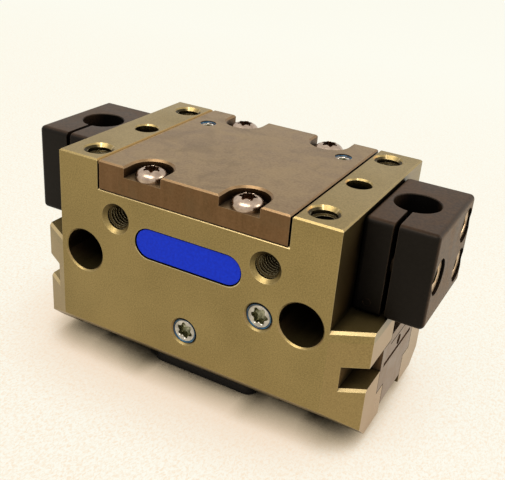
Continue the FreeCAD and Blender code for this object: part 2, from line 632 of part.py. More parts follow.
def make_wedge_hook():
    body = add_body("wedge_hook")
    low = "sizes.wedge_bottom"
    core = add_sketch(body, "wedge", "XZ_Plane")
    polygon(core, [(scaled(-1, flank(low)), low), (flank(low), low),
                   (flank(wedge_top), wedge_top), (scaled(-1, flank(wedge_top)), wedge_top)])
    pad(body, core, "sizes.wedge_depth", symmetric=True)
    necks = add_sketch(body, "hook_necks", "XZ_Plane")
    both(necks, polygon, hook_outline(low, wedge_top, "0", "sizes.hook_neck"))
    pad(body, necks, "sizes.hook_neck_width", symmetric=True)
    heads = add_sketch(body, "hook_heads", "XZ_Plane")
    both(heads, polygon, hook_outline(low, wedge_top, "sizes.hook_neck", "sizes.hook_neck + sizes.hook_head"))
    pad(body, heads, "sizes.hook_head_width", symmetric=True)
    rod = add_sketch(body, "rod", "XY_Plane", wedge_top)
    circles(rod, [("0", "0")], "sizes.rod_size")
    pad(body, rod, f"{piston_bottom} - {wedge_top}")
    drill(body, "rod_thread", "XY_Plane", piston_bottom, [("0", "0")],
          "sizes.piston_screw_size + 2 * sizes.hole_gap", "sizes.piston_screw_grip + sizes.hole_gap")


def make_rod_guide():
    bore = "(sizes.rod_size / 2 + sizes.rod_gap)"
    barrel = "sizes.bush_size / 2"
    rim = "sizes.bush_flange / 2"
    recess = f"({bore} + sizes.rod_seal_width)"
    flange_top = "(sizes.bore_floor + sizes.bush_flange_height)"
    seal_seat = f"({flange_top} - sizes.rod_seal_height)"
    body = add_body("rod_bush")
    profile = add_sketch(body, "bush_profile", "XZ_Plane")
    polygon(profile, [(bore, bush_bottom), (barrel, bush_bottom), (barrel, "sizes.bore_floor"),
                      (rim, "sizes.bore_floor"), (rim, flange_top), (recess, flange_top),
                      (recess, seal_seat), (bore, seal_seat)])
    turned = body.newObject("PartDesign::Revolution", "bush_turned")
    turned.Profile = profile
    turned.ReferenceAxis = (profile, ["V_Axis"])
    turned.Angle = 360
    doc.recompute()
    seal = add_body("rod_seal")
    ring = add_sketch(seal, "rod_seal_ring", "XY_Plane", seal_seat)
    for radius in (f"({bore} + sizes.hole_gap / 2)", f"({recess} - sizes.hole_gap / 2)"):
        circles(ring, [("0", "0")], scaled(2, radius))
    pad(seal, ring, "sizes.rod_seal_height - sizes.hole_gap")


def make_jaw(side, turn):
    body = add_body(f"{side}_base_jaw", turn)
    gap = "sizes.wedge_gap"
    tip = "(sizes.neck_bottom + sizes.tip_height)"
    tee = add_sketch(body, "jaw_tee", "XZ_Plane")
    polygon(tee, [(flank("sizes.tee_bottom", gap), "sizes.tee_bottom"), (half_flange, "sizes.tee_bottom"),
                  (half_flange, "sizes.tee_top"), (flank("sizes.tee_top", gap), "sizes.tee_top")])
    pad(body, tee, "sizes.tee_width", symmetric=True)
    neck = add_sketch(body, "jaw_neck", "XZ_Plane")
    polygon(neck, [(flank(tip, gap), "sizes.neck_bottom"), (half_flange, "sizes.neck_bottom"),
                   (half_flange, "sizes.tee_bottom"), (flank("sizes.tee_bottom", gap), "sizes.tee_bottom"),
                   (flank(tip, gap), tip)])
    pad(body, neck, "sizes.neck_width", symmetric=True)
    finger = add_sketch(body, "finger_pad", "XZ_Plane")
    rectangle(finger, pad_inner, f"{pad_inner} + sizes.pad_length", "-sizes.pad_drop", "sizes.neck_bottom")
    pad(body, finger, "sizes.neck_width", symmetric=True)
    rib = add_sketch(body, "switch_rib", "XZ_Plane")
    rectangle(rib, f"{half_flange} - sizes.rib_length", half_flange,
              "sizes.tee_top", "sizes.tee_top + sizes.rib_height")
    pad(body, rib, "sizes.rib_width", symmetric=True)

    low = "(sizes.neck_bottom - sizes.hook_neck)"
    high = "(sizes.tee_top + sizes.hook_neck)"
    neck_slot = add_sketch(body, "hook_neck_slot", "XZ_Plane")
    polygon(neck_slot, hook_outline(low, high, "0", "sizes.hook_neck"))
    pocket(body, neck_slot, "sizes.hook_neck_width + 2 * sizes.hook_gap", symmetric=True)
    head_slot = add_sketch(body, "hook_head_slot", "XZ_Plane")
    polygon(head_slot, hook_outline(low, high, "sizes.hook_neck - sizes.hook_gap",
                                    "sizes.hook_neck + sizes.hook_head + sizes.hook_gap"))
    pocket(body, head_slot, "sizes.hook_head_width + 2 * sizes.hook_gap", symmetric=True)

    middle = f"({pad_inner} + sizes.pad_length / 2)"
    drill(body, "finger_threads", "XY_Plane", "-sizes.pad_drop",
          [(f"{middle} + {step} * sizes.finger_pitch / 2", "0") for step in (-1, 1)],
          "sizes.finger_size", "sizes.finger_depth", backward=True)
    key = add_sketch(body, "key_groove", "XZ_Plane")
    rectangle(key, f"{middle} - sizes.key_width / 2", f"{middle} + sizes.key_width / 2",
              "-sizes.pad_drop", "-sizes.pad_drop + sizes.key_depth")
    pocket(body, key, symmetric=True)
    marks = add_sketch(body, "end_marks", "YZ_Plane", half_flange)
    rectangle(marks, "-sizes.mark_width / 2", "sizes.mark_width / 2",
              "sizes.mark_z", "sizes.mark_z + sizes.mark_height")
    rectangle(marks, "-sizes.line_width / 2", "sizes.line_width / 2",
              line_z, f"{line_z} + sizes.line_height")
    pocket(body, marks, "sizes.mark_depth")
    drill(body, "target_hole", "YZ_Plane", half_flange, [("0", target_z)],
          scaled(2, target_radius), "sizes.target_length + sizes.plug_sunk")
    screw = add_body(f"{side}_target_screw", turn)
    rounds = add_sketch(screw, "target_round", "YZ_Plane", f"{half_flange} - sizes.plug_sunk")
    circles(rounds, [("0", target_z)], "sizes.target_size")
    pad(screw, rounds, "sizes.target_length", backward=True)


def make_centre_plate():
    body = add_body("centre_plate")
    spots = four("sizes.plate_screw_x", "sizes.plate_screw_y")
    outline = add_sketch(body, "plate_outline", "XY_Plane")
    rectangle(outline, "-sizes.plate_length / 2", "sizes.plate_length / 2",
              "-sizes.plate_depth / 2", "sizes.plate_depth / 2")
    pad(body, outline, "sizes.plate_thickness", backward=True)
    break_edges(body, "Fillet", "plate_corners", "sizes.plate_corner",
                lambda edge: not near(edge.Vertexes[0].Z, edge.Vertexes[-1].Z))
    break_edges(body, "Chamfer", "plate_edges", "sizes.plate_edge",
                level_test(-size("sizes.plate_thickness")))
    head_seat_z = "(-sizes.plate_thickness + sizes.plate_head_sunk + sizes.plate_head_height)"
    drill(body, "plate_holes", "XY_Plane", "0", spots, "sizes.plate_screw_size + 2 * sizes.hole_gap")
    drill(body, "plate_sinks", "XY_Plane", "-sizes.plate_thickness", spots,
          "sizes.plate_head_size + 2 * sizes.hole_gap", "sizes.plate_head_sunk + sizes.plate_head_height",
          backward=True)
    make_screws("centre_plate_screws", "XY_Plane", head_seat_z, spots, "sizes.plate_head_size",
                "sizes.plate_head_height", "sizes.plate_screw_size",
                f"sizes.plate_screw_grip - {head_seat_z}", backward=True)


def make_bracket(side, sign):
    left = sign < 0
    body = add_body(f"{side}_sensor_bracket")
    outline = add_sketch(body, "bracket_outline", "XY_Plane", bracket_bottom)
    front = "-sizes.bracket_depth / 2"
    rectangle(outline, scaled(sign, half_block), scaled(sign, bracket_outer), front, f"-({front})")
    pad(body, outline, "sizes.bracket_height")
    break_edges(body, "Fillet", "bracket_edges", "sizes.bracket_edge", lambda edge: True)
    top = f"({bracket_bottom} + sizes.bracket_height)"
    centre = scaled(sign, sensor_x)
    drill(body, "switch_bore", "XY_Plane", top, [(centre, "0")], "sizes.sensor_size")
    radius = size("sizes.sensor_size / 2")
    break_edges(body, "Chamfer", "switch_rim", "sizes.sensor_sink", rim_test("z", size(top), radius))
    slot = add_sketch(body, "clamp_slot", "XY_Plane", top)
    rectangle(slot, f"{centre} - sizes.clamp_slot / 2", f"{centre} + sizes.clamp_slot / 2", front, "0")
    pocket(body, slot)

    clamp_spot = [("-sizes.clamp_y", bracket_middle)]
    spots = bracket_screw_spots()
    outer = scaled(sign, bracket_outer)
    thread = "sizes.bracket_screw_size + 2 * sizes.hole_gap"
    clamp_length = f"({bracket_outer} - {sensor_x} + sizes.clamp_slot / 2 + sizes.clamp_grip)"
    drill(body, "screw_sinks", "YZ_Plane", outer, clamp_spot + spots,
          "sizes.bracket_head_size + 2 * sizes.hole_gap", head_seat, backward=left)
    drill(body, "clamp_hole", "YZ_Plane", outer, clamp_spot, thread, f"{clamp_length} + sizes.hole_gap",
          backward=left)
    drill(body, "bracket_holes", "YZ_Plane", outer, spots, thread, "sizes.bracket_length", backward=left)
    seat = scaled(sign, f"{bracket_outer} - {head_seat}")
    head = ("sizes.bracket_head_size", "sizes.bracket_head_height", "sizes.bracket_screw_size")
    make_screws(f"{side}_clamp_screw", "YZ_Plane", seat, clamp_spot, *head,
                f"{clamp_length} - {head_seat}", left)
    make_screws(f"{side}_bracket_screws", "YZ_Plane", seat, spots, *head,
                f"sizes.bracket_length - {head_seat} + sizes.bracket_screw_grip", left)


def make_front_trim():
    make_inserts("side_plugs", "XZ_Plane", f"{half_depth} - sizes.plug_sunk",
                 [("sizes.channel_plug_x", "sizes.channel_plug_z"), ("0", "sizes.grease_plug_z")],
                 "sizes.plug_size", "sizes.plug_length", backward=True)
    label = add_body("label_plate")
    outline = add_sketch(label, "label_outline", "XZ_Plane",
                         f"{half_depth} - sizes.label_sunk - sizes.label_thickness")
    label_oval(outline, "0")
    pad(label, outline, "sizes.label_thickness")


make_housing()
make_cover()
seal_inner = "sizes.bore_radius + sizes.seal_land"
make_ring("cover_seal", f"{cover_seat} - sizes.seal_depth", f"{seal_inner} + sizes.hole_gap",
          f"{seal_inner} + sizes.seal_width - sizes.hole_gap", "sizes.seal_depth")
make_cover_fasteners()
make_piston()
make_wedge_hook()
make_rod_guide()
for side, turn in (("right", 0), ("left", 180)):
    make_jaw(side, turn)
make_centre_plate()
for side, sign in (("right", 1), ("left", -1)):
    make_bracket(side, sign)
make_front_trim()

doc.recompute()
for item in doc.Objects:
    if "Invalid" in item.State or "Error" in item.State:
        raise RuntimeError(f"{item.Label} could not be built: {item.State}")
sub_parts = [item for item in doc.Objects if item.TypeId == "PartDesign::Body"]
for item in sub_parts:
    if item.Shape.isNull() or not item.Shape.isValid():
        raise RuntimeError(f"{item.Label} has no valid shape")

os.makedirs("parts", exist_ok=True)
for item in sub_parts:
    item.Shape.exportStep(f"parts/{item.Label}.step")
    print(item.Label, len(item.Shape.Solids), round(item.Shape.Volume, 2))
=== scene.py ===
import json
import math

import bpy
from mathutils import Matrix, Vector


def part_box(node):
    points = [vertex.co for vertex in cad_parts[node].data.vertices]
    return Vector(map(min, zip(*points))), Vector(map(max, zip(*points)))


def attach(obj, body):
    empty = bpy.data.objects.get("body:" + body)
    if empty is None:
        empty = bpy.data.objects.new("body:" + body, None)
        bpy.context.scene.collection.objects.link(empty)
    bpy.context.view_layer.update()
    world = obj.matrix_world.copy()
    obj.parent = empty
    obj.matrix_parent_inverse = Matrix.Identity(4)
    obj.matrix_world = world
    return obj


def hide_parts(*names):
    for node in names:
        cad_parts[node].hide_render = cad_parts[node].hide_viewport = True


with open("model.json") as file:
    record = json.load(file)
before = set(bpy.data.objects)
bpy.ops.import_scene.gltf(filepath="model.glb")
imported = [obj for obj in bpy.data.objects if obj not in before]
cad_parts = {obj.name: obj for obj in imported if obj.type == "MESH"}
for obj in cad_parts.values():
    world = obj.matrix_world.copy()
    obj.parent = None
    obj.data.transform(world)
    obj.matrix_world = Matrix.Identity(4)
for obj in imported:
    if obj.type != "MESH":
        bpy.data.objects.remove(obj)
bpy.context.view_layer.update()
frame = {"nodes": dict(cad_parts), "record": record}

nodes = frame["nodes"]
record = frame["record"]
mounts = {row["name"]: row for row in record["mounts"]}
sides = (("left", -1), ("right", 1))
up, down, front = (0, 0, 1), (0, 0, -1), (0, -1, 0)
mm = 0.001
print("frame loaded:", len(nodes), "nodes")


def inMm(box):
    return [corner / mm for corner in box]


def addObject(name, data):
    made = bpy.data.objects.new(name, data)
    bpy.context.scene.collection.objects.link(made)
    return made


def lookFrom(place, direction):
    # cameras and lamps look down their own Z axis
    turn = Vector(direction).to_track_quat("-Z", "Y").to_matrix().to_4x4()
    return Matrix.Translation(place) @ turn


# the photo's eye: place in millimetres, what it looks along, and how far it is rolled
cameraPlan = {
    "place": (69.137, -131.461, 102.10),
    "forward": (-0.40265, 0.79976, -0.44526),
    "roll": 4.71,
    "lens": 55.29,
    "sensor": 36.0,
    "clip": (0.01, 10.0),
}


def placeCamera(plan):
    data = bpy.data.cameras.new("photoCamera")
    data.lens = plan["lens"]
    data.sensor_width = plan["sensor"]
    data.sensor_fit = "HORIZONTAL"
    data.clip_start, data.clip_end = plan["clip"]
    camera = addObject("photoCamera", data)
    roll = Matrix.Rotation(math.radians(plan["roll"]), 4, "Z")
    camera.matrix_world = lookFrom(Vector(plan["place"]) * mm, plan["forward"]) @ roll
    bpy.context.scene.camera = camera


placeCamera(cameraPlan)
print("camera placed")


def linear(red, green, blue):
    # display values from 0 to 255, as the shaders need them
    parts = (value / 255 for value in (red, green, blue))
    curve = (part / 12.92 if part <= 0.04045 else ((part + 0.055) / 1.055) ** 2.4 for part in parts)
    return (*curve, 1)


def newFinish(name, roughness, metallic=0.0, index=1.5):
    material = bpy.data.materials.new(name)
    material.use_nodes = True
    shader = material.node_tree.nodes["Principled BSDF"]
    for key, value in (("Roughness", roughness), ("Metallic", metallic), ("IOR", index)):
        shader.inputs[key].default_value = value
    return material, material.node_tree, shader


def feed(tree, socket, value):
    # links another node's output, or sets a plain value
    if isinstance(value, bpy.types.NodeSocket):
        tree.links.new(value, socket)
    else:
        socket.default_value = value


def addNode(tree, kind, sockets=None, **settings):
    made = tree.nodes.new("ShaderNode" + kind)
    for key, value in settings.items():
        setattr(made, key, value)
    for key, value in (sockets or {}).items():
        feed(tree, made.inputs[key], value)
    return made


def reckon(tree, operation, *values):
    return addNode(tree, "Math", dict(enumerate(values)), operation=operation).outputs["Value"]


def times(tree, first, *others):
    for value in others:
        first = reckon(tree, "MULTIPLY", first, value)
    return first


def plus(tree, first, *others):
    for value in others:
        first = reckon(tree, "ADD", first, value)
    return first


def remap(tree, value, low, high, toLow=0.0, toHigh=1.0):
    sockets = {"Value": value, "From Min": low, "From Max": high, "To Min": toLow, "To Max": toHigh}
    return addNode(tree, "MapRange", sockets).outputs["Result"]


def clamped(tree, value):
    return remap(tree, value, 0.0, 1.0)


def mixColour(tree, share, first, second):
    # 6 and 7 are the two colours of the node, and 2 is what it gives
    return addNode(tree, "Mix", {0: share, 6: first, 7: second}, data_type="RGBA").outputs[2]


def objectPlace(tree, stretch=(1, 1, 1)):
    place = addNode(tree, "TexCoord").outputs["Object"]
    return addNode(tree, "Mapping", {"Vector": place, "Scale": stretch}).outputs["Vector"]


def noise(tree, scale, detail=3.0, stretch=(1, 1, 1), distortion=0.0):
    place = objectPlace(tree, stretch)
    sockets = {"Vector": place, "Scale": scale, "Detail": detail, "Distortion": distortion}
    return addNode(tree, "TexNoise", sockets).outputs["Fac"]


def blend(tree, weights, *values):
    return plus(tree, *(times(tree, value, weight) for value, weight in zip(values, weights)))


def twoTone(tree, plan, tone):
    # the grain of a body, between its dark and its light colour
    return mixColour(tree, remap(tree, tone, *plan["spread"]), plan["dark"], plan["light"])


def along(tree, vector, axis):
    return addNode(tree, "SeparateXYZ", {0: vector}).outputs[axis]


def placeOn(tree, axis):
    return along(tree, objectPlace(tree), axis)


def tilt(tree, axis):
    # how squarely a face looks along one axis of the object, less than 0 if it looks the other way
    return along(tree, addNode(tree, "TexCoord").outputs["Normal"], axis)


def lean(tree, axis):
    return reckon(tree, "ABSOLUTE", tilt(tree, axis))  # the same for both ways


def facing(tree, axis, low, high):
    return remap(tree, lean(tree, axis), low, high)


def tilted(tree, axis, value, spread=0.04):
    # faces that lean by one set amount
    return reckon(tree, "COMPARE", lean(tree, axis), value, spread)


def nearMiddle(tree, axis, reach):
    return reckon(tree, "LESS_THAN", reckon(tree, "ABSOLUTE", placeOn(tree, axis)), reach * mm)


def band(tree, axis, middle, half):
    # a stripe across the object, in millimetres along one axis
    return reckon(tree, "COMPARE", placeOn(tree, axis), middle * mm, half * mm)


def patch(tree, mark):
    # a stripe of heights that ends at a reach either side of the middle
    return times(tree, band(tree, "Z", *mark["stripe"]), nearMiddle(tree, "X", mark["reach"]))


def openness(tree, reach, samples, toward=None):
    # 1 in the open, and less where something stands within the reach
    sockets = {"Distance": reach * mm}
    if toward is not None:
        sockets["Normal"] = toward
    return addNode(tree, "AmbientOcclusion", sockets, samples=samples).outputs["AO"]


cornerSamples = 8


def corners(tree, reach, low, high):
    # low in holes and inner corners, where the finishes paint shade
    return remap(tree, openness(tree, reach, cornerSamples), low, high)


edgePlan = {"samples": 6, "turn": (0.975, 0.86), "reach": 0.6, "open": (0.55, 0.85)}


def edgeMask(tree, radius, plan=edgePlan):
    # high along outer edges, where handling polishes the surface and where painted highlights go; inner
    # corners stay out
    rounded = addNode(tree, "Bevel", {"Radius": radius * mm}, samples=plan["samples"]).outputs["Normal"]
    flat = addNode(tree, "NewGeometry").outputs["Normal"]
    turn = addNode(tree, "VectorMath", {0: rounded, 1: flat}, operation="DOT_PRODUCT").outputs["Value"]
    outer = remap(tree, openness(tree, plan["reach"], plan["samples"]), *plan["open"])
    return times(tree, remap(tree, turn, *plan["turn"]), outer)


def seenDirectly(tree):
    # rays from the camera and mirror rays, which meet the pale sheet at its own colour
    path = addNode(tree, "LightPath").outputs
    kinds = ("Is Camera Ray", "Is Glossy Ray", "Is Transmission Ray")
    return clamped(tree, plus(tree, *(path[kind] for kind in kinds)))


def roughen(tree, shader, value, strength, depth):
    sockets = {"Height": value, "Strength": strength, "Distance": depth * mm}
    tree.links.new(addNode(tree, "Bump", sockets).outputs["Normal"], shader.inputs["Normal"])


# soft warm room light: a wide panel overhead in front, a weaker one on the right, pale surroundings
lightPlan = {
    "world": (1.0, 0.97, 0.92),
    "worldStrength": 0.25,
    "aim": (0.0, 0.0, 0.02),
    "panels": {
        "keyPanel": {
            "place": (-0.04, -0.50, 1.06), "size": (1.1, 0.6), "power": 10.0, "colour": (1.0, 0.95, 0.86),
        },
        "fillPanel": {
            "place": (0.90, 0.45, 0.60), "size": (0.6, 0.6), "power": 4.0, "colour": (1.0, 0.96, 0.88),
        },
    },
}


def addLamp(name, plan, aim):
    data = bpy.data.lights.new(name, "AREA")
    data.shape = "RECTANGLE"
    data.size, data.size_y = plan["size"]
    data.energy = plan["power"]
    data.color = plan["colour"]
    lamp = addObject(name, data)
    lamp.matrix_world = lookFrom(plan["place"], Vector(aim) - Vector(plan["place"]))


def lightRoom(plan):
    world = bpy.data.worlds.new("room")
    bpy.context.scene.world = world
    world.use_nodes = True
    tree = world.node_tree
    back = tree.nodes["Background"]
    back.inputs["Color"].default_value = (*plan["world"], 1)
    strength = remap(tree, seenDirectly(tree), 0.0, 1.0, plan["worldStrength"], 1.0)
    tree.links.new(strength, back.inputs["Strength"])
    for name, panel in plan["panels"].items():
        addLamp(name, panel, plan["aim"])


floorPlan = {
    "reach": 3.0,
    "roughness": 0.85,
    "near": linear(255, 253, 240),
    "far": linear(255, 255, 244),
    "depth": (-0.05, 0.30),  # metres, from the near tone to the far one
    "grain": {"scale": 2300.0, "detail": 2.0, "stretch": (1.0, 0.6, 1.0), "distortion": 0.8},
    "bump": (0.12, 0.15),
    "pit": linear(251, 230, 203),
    "pitShare": (0.42, 0.7, 0.0, 0.85),
    "pitFade": (1.0, 0.2),  # near and far
    # colours of the painted shadow near the object: its darkest tone, then a warm tint
    "shadow": linear(236, 214, 170),
    "warm": linear(242, 218, 193),
    "glow": 0.92,
    # the painted shadow leans away from this direction
    "lampward": (0.33, 0.0, 0.944),
    "samples": 16,
    "wide": (26.0, 0.45, 0.92),  # reach in millimetres, and the range of openness that counts
    "close": (9.0, 0.272, 0.78),
    # the painted shadow is paler in front of the plate
    "plate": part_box("centre_plate")[1][0] / mm,
    "plateEdge": (1.0, -2.0),
    "fade": (0.86, 0.44),  # outside the plate's edge and inside it
}


def makeFloorFinish(plan):
    material, tree, shader = newFinish("floorSheet", plan["roughness"])
    away = remap(tree, placeOn(tree, "Y"), *plan["depth"])
    tone = mixColour(tree, away, plan["near"], plan["far"])
    grain = noise(tree, **plan["grain"])
    pits = times(tree, remap(tree, grain, *plan["pitShare"]), remap(tree, away, 0.0, 1.0, *plan["pitFade"]))
    tone = mixColour(tree, pits, tone, plan["pit"])
    tree.links.new(tone, shader.inputs["Base Color"])
    roughen(tree, shader, grain, *plan["bump"])
    # the sheet shows its own pale colour, with a painted shadow close to the object that is warmer nearby,
    # leans away from the lamp side and is paler in front of the low plate
    lampward = addNode(tree, "CombineXYZ", dict(enumerate(plan["lampward"]))).outputs["Vector"]
    wide, close = (
        remap(tree, openness(tree, reach, plan["samples"], lampward), low, high)
        for reach, low, high in (plan["wide"], plan["close"])
    )
    tone = mixColour(tree, wide, plan["warm"], tone)
    aside = reckon(tree, "ABSOLUTE", placeOn(tree, "X"))
    outside, inside = ((plan["plate"] + step) * mm for step in plan["plateEdge"])
    bare = reckon(tree, "POWER", close, remap(tree, aside, outside, inside, *plan["fade"]))
    colour = mixColour(tree, bare, plan["shadow"], tone)
    glow = addNode(tree, "Emission", {"Color": colour, "Strength": bare})
    share = times(tree, seenDirectly(tree), plan["glow"])
    mixed = addNode(tree, "MixShader", {0: share, 1: shader.outputs["BSDF"], 2: glow.outputs["Emission"]})
    tree.links.new(mixed.outputs["Shader"], tree.nodes["Material Output"].inputs["Surface"])
    return material


def layFloor(plan):
    reach = plan["reach"]
    mesh = bpy.data.meshes.new("floor")
    edge = [(-reach, -reach, 0), (reach, -reach, 0), (reach, reach, 0), (-reach, reach, 0)]
    mesh.from_pydata(edge, [], [(0, 1, 2, 3)])
    mesh.materials.append(makeFloorFinish(plan))
    floor = addObject("floor", mesh)


lightRoom(lightPlan)
layFloor(floorPlan)
bpy.context.scene.view_settings.view_transform = "Standard"
print("light and floor ready")

cutLean = 0.707  # faces cut at 45 degrees
squarely = (0.90, 0.98)  # faces that look straight along an axis
ledgeHeight = 25.5
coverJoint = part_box("back_cover")[0][2] / mm
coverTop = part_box("back_cover")[1][2] / mm
portHeight = mounts["left_air_port"]["pos_m"][2] / mm
boreHeight = mounts["side_bolts"]["pos_m"][2] / mm
labelLow, labelHigh = inMm(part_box("label_plate"))

# a stripe is a height and half its width, in millimetres
housingFinish = {
    "roughness": 0.4,
    "metallic": 0.9,
    "dark": linear(128, 111, 68),
    "light": linear(160, 139, 90),
    "spread": (0.33, 0.67),
    "grain": {"scale": 3800.0},
    "cloud": {"scale": 80.0, "detail": 4.0},
    "weights": (0.75, 0.25),
    # painted light: a lighter tone on the flange ends, painted shade on the block ends
    "ends": {"colour": linear(165, 135, 94), "facing": (0.38, 0.98), "stripe": (0.0, ledgeHeight)},
    "shade": {
        "colour": linear(118, 95, 59), "stripe": (ledgeHeight + 15.0, 15.0), "corners": (14.0, 0.97, 0.7),
    },
    "worn": {"colour": linear(232, 216, 176), "radius": 0.2, "share": 0.3},
    # bare cut faces lightened as painted highlights, golden inside the rails
    "milledHighlight": {"colour": linear(190, 168, 122), "slantLean": 0.35, "shares": (0.15, 1.0)},
    "goldHighlight": {"colour": linear(190, 152, 92), "stripe": (coverTop - 0.15, 0.2), "reach": 24.0},
    "sunk": {"stripe": (coverTop - 0.52, 0.2), "facing": (0.3, 0.55), "share": 0.9},
    "lip": {"stripe": (coverJoint - 0.15, 0.15), "reach": 21.0, "facing": (0.6, 0.7), "share": 0.85},
    "port": {"stripe": (portHeight, 4.0), "reach": 24.0, "tilt": (0.35, -0.2, 0.0, 0.8)},
    "bore": {"stripe": (boreHeight, 4.6), "reach": 29.3, "facing": (0.5, 0.2), "share": 0.6},
    "bed": {"stripe": (labelLow[2] + 0.6, 1.0), "reach": labelHigh[0] + 0.5, "radius": 0.5},
    # painted shade: a soft dark tone in corners, a near-black one deep in holes, less on the tops
    "paintedShading": {"colour": linear(84, 72, 44), "corners": (2.5, 0.6, 0.97)},
    "paintedShade": {"colour": linear(10, 8, 4), "corners": (8.0, 0.3, 0.75), "litTops": 0.5},
    "gloss": (0.3, 1.3, 0.44, 0.24),
    "polish": 0.75,
    "bump": (0.03, 0.2),
    "bumpDepth": 0.015,
}


def makeHousingFinish(plan):
    material, tree, shader = newFinish("oliveAnodising", plan["roughness"], plan["metallic"])
    grain, cloud = (noise(tree, **plan[key]) for key in ("grain", "cloud"))
    body = twoTone(tree, plan, blend(tree, plan["weights"], grain, cloud))
    paintedShading, paintedShade, mark = plan["paintedShading"], plan["paintedShade"], plan["ends"]
    # the flange ends are painted lighter where the light catches them, and the block ends above them get
    # painted shade from the brackets
    ends = times(tree, facing(tree, "X", *mark["facing"]), band(tree, "Z", *mark["stripe"]))
    body = mixColour(tree, ends, body, mark["colour"])
    mark = plan["shade"]
    high = times(tree, facing(tree, "X", *squarely), band(tree, "Z", *mark["stripe"]))
    body = mixColour(tree, times(tree, high, corners(tree, *mark["corners"])), body, mark["colour"])
    mark = plan["worn"]
    worn = edgeMask(tree, mark["radius"])
    body = mixColour(tree, times(tree, worn, mark["share"]), body, mark["colour"])
    # bare cut edges, lightened with a painted highlight: bright on the slanted ledges, duller in
    # countersinks, and a golden painted highlight inside the rails
    mark = plan["milledHighlight"]
    cut = tilted(tree, "Z", cutLean)
    milledHighlight = times(tree, cut, remap(tree, tilted(tree, "X", mark["slantLean"]), 0.0, 1.0, *mark["shares"]))
    body = mixColour(tree, milledHighlight, body, mark["colour"])
    mark = plan["goldHighlight"]
    inner = times(tree, cut, patch(tree, mark), tilted(tree, "X", cutLean))
    body = mixColour(tree, inner, body, mark["colour"])
    # painted shade low on the side flanks of the countersinks in the rails
    mark = plan["sunk"]
    sunk = times(tree, cut, band(tree, "Z", *mark["stripe"]), facing(tree, "X", *mark["facing"]))
    body = mixColour(tree, times(tree, sunk, mark["share"]), body, paintedShade["colour"])
    # a painted highlight: a bright lip along the joint under the cover
    mark = plan["lip"]
    lip = times(tree, patch(tree, mark), facing(tree, "Y", *mark["facing"]))
    body = mixColour(tree, times(tree, lip, mark["share"]), body, plan["milledHighlight"]["colour"])
    # painted shade: the ports are left bright below and shaded above, and the side bores are dark all the
    # way in
    mark = plan["port"]
    upperShade = remap(tree, tilt(tree, "Z"), *mark["tilt"])
    port = times(tree, patch(tree, mark), tilted(tree, "Y", cutLean), upperShade)
    body = mixColour(tree, port, body, paintedShading["colour"])
    mark = plan["bore"]
    bore = times(tree, patch(tree, mark), facing(tree, "Y", *mark["facing"]), mark["share"])
    body = mixColour(tree, bore, body, paintedShade["colour"])
    # a painted highlight on the lower rim of the label's bed
    mark = plan["bed"]
    bed = times(tree, patch(tree, mark), edgeMask(tree, mark["radius"]))
    body = mixColour(tree, bed, body, plan["worn"]["colour"])
    # painted shade in corners and holes, lighter on the tops, where more light falls
    clear = clamped(tree, plus(tree, corners(tree, *paintedShading["corners"]), lip))
    body = mixColour(tree, clear, paintedShading["colour"], body)
    litTops = times(tree, facing(tree, "Z", *squarely), paintedShade["litTops"])
    unshaded = clamped(tree, plus(tree, corners(tree, *paintedShade["corners"]), litTops))
    body = mixColour(tree, unshaded, paintedShade["colour"], body)
    tree.links.new(body, shader.inputs["Base Color"])
    gloss = remap(tree, plus(tree, cloud, worn, milledHighlight), *plan["gloss"])
    # the ground end faces mirror more sharply
    polish = remap(tree, lean(tree, "X"), *squarely, 1.0, plan["polish"])
    tree.links.new(times(tree, gloss, polish), shader.inputs["Roughness"])
    roughen(tree, shader, grain, remap(tree, polish, plan["polish"], 1.0, *plan["bump"]), plan["bumpDepth"])
    return material


coverFinish = {
    "roughness": 0.4,
    "metallic": 0.9,
    "dark": linear(98, 72, 44),
    "light": linear(120, 90, 60),
    "spread": (0.34, 0.66),
    "grain": {"scale": 2600.0},
    "cloud": {"scale": 120.0, "detail": 5.0, "distortion": 1.2},
    "streaks": {"scale": 900.0, "detail": 2.0, "stretch": (1.0, 1.0, 0.06)},
    "weights": (0.4, 0.3, 0.3),
    # painted light on the tops, painted shade in the hollows and along the seam above the joint
    "paintedShading": {"colour": linear(152, 130, 96), "facing": (0.6, 0.95)},
    "topLight": {"weights": (1.0, 0.8), "range": (0.6, 1.15, 0.35, 1.0)},
    "stain": {"colour": linear(104, 84, 58), "range": (0.50, 0.75, 0.0, 0.6)},
    "stainNoise": {"scale": 95.0, "detail": 6.0, "distortion": 1.5},
    "worn": {"colour": linear(214, 186, 150), "radius": 0.2, "weights": (0.2, 0.08)},
    "paintedShade": {"colour": linear(24, 16, 9), "corners": (4.5, 0.3, 0.75)},
    "joint": {"stripe": (coverJoint + 0.06, 0.1), "share": 0.8},
    "gloss": (0.3, 0.7, 0.36, 0.46),
    "bump": (0.2, 0.015),
}


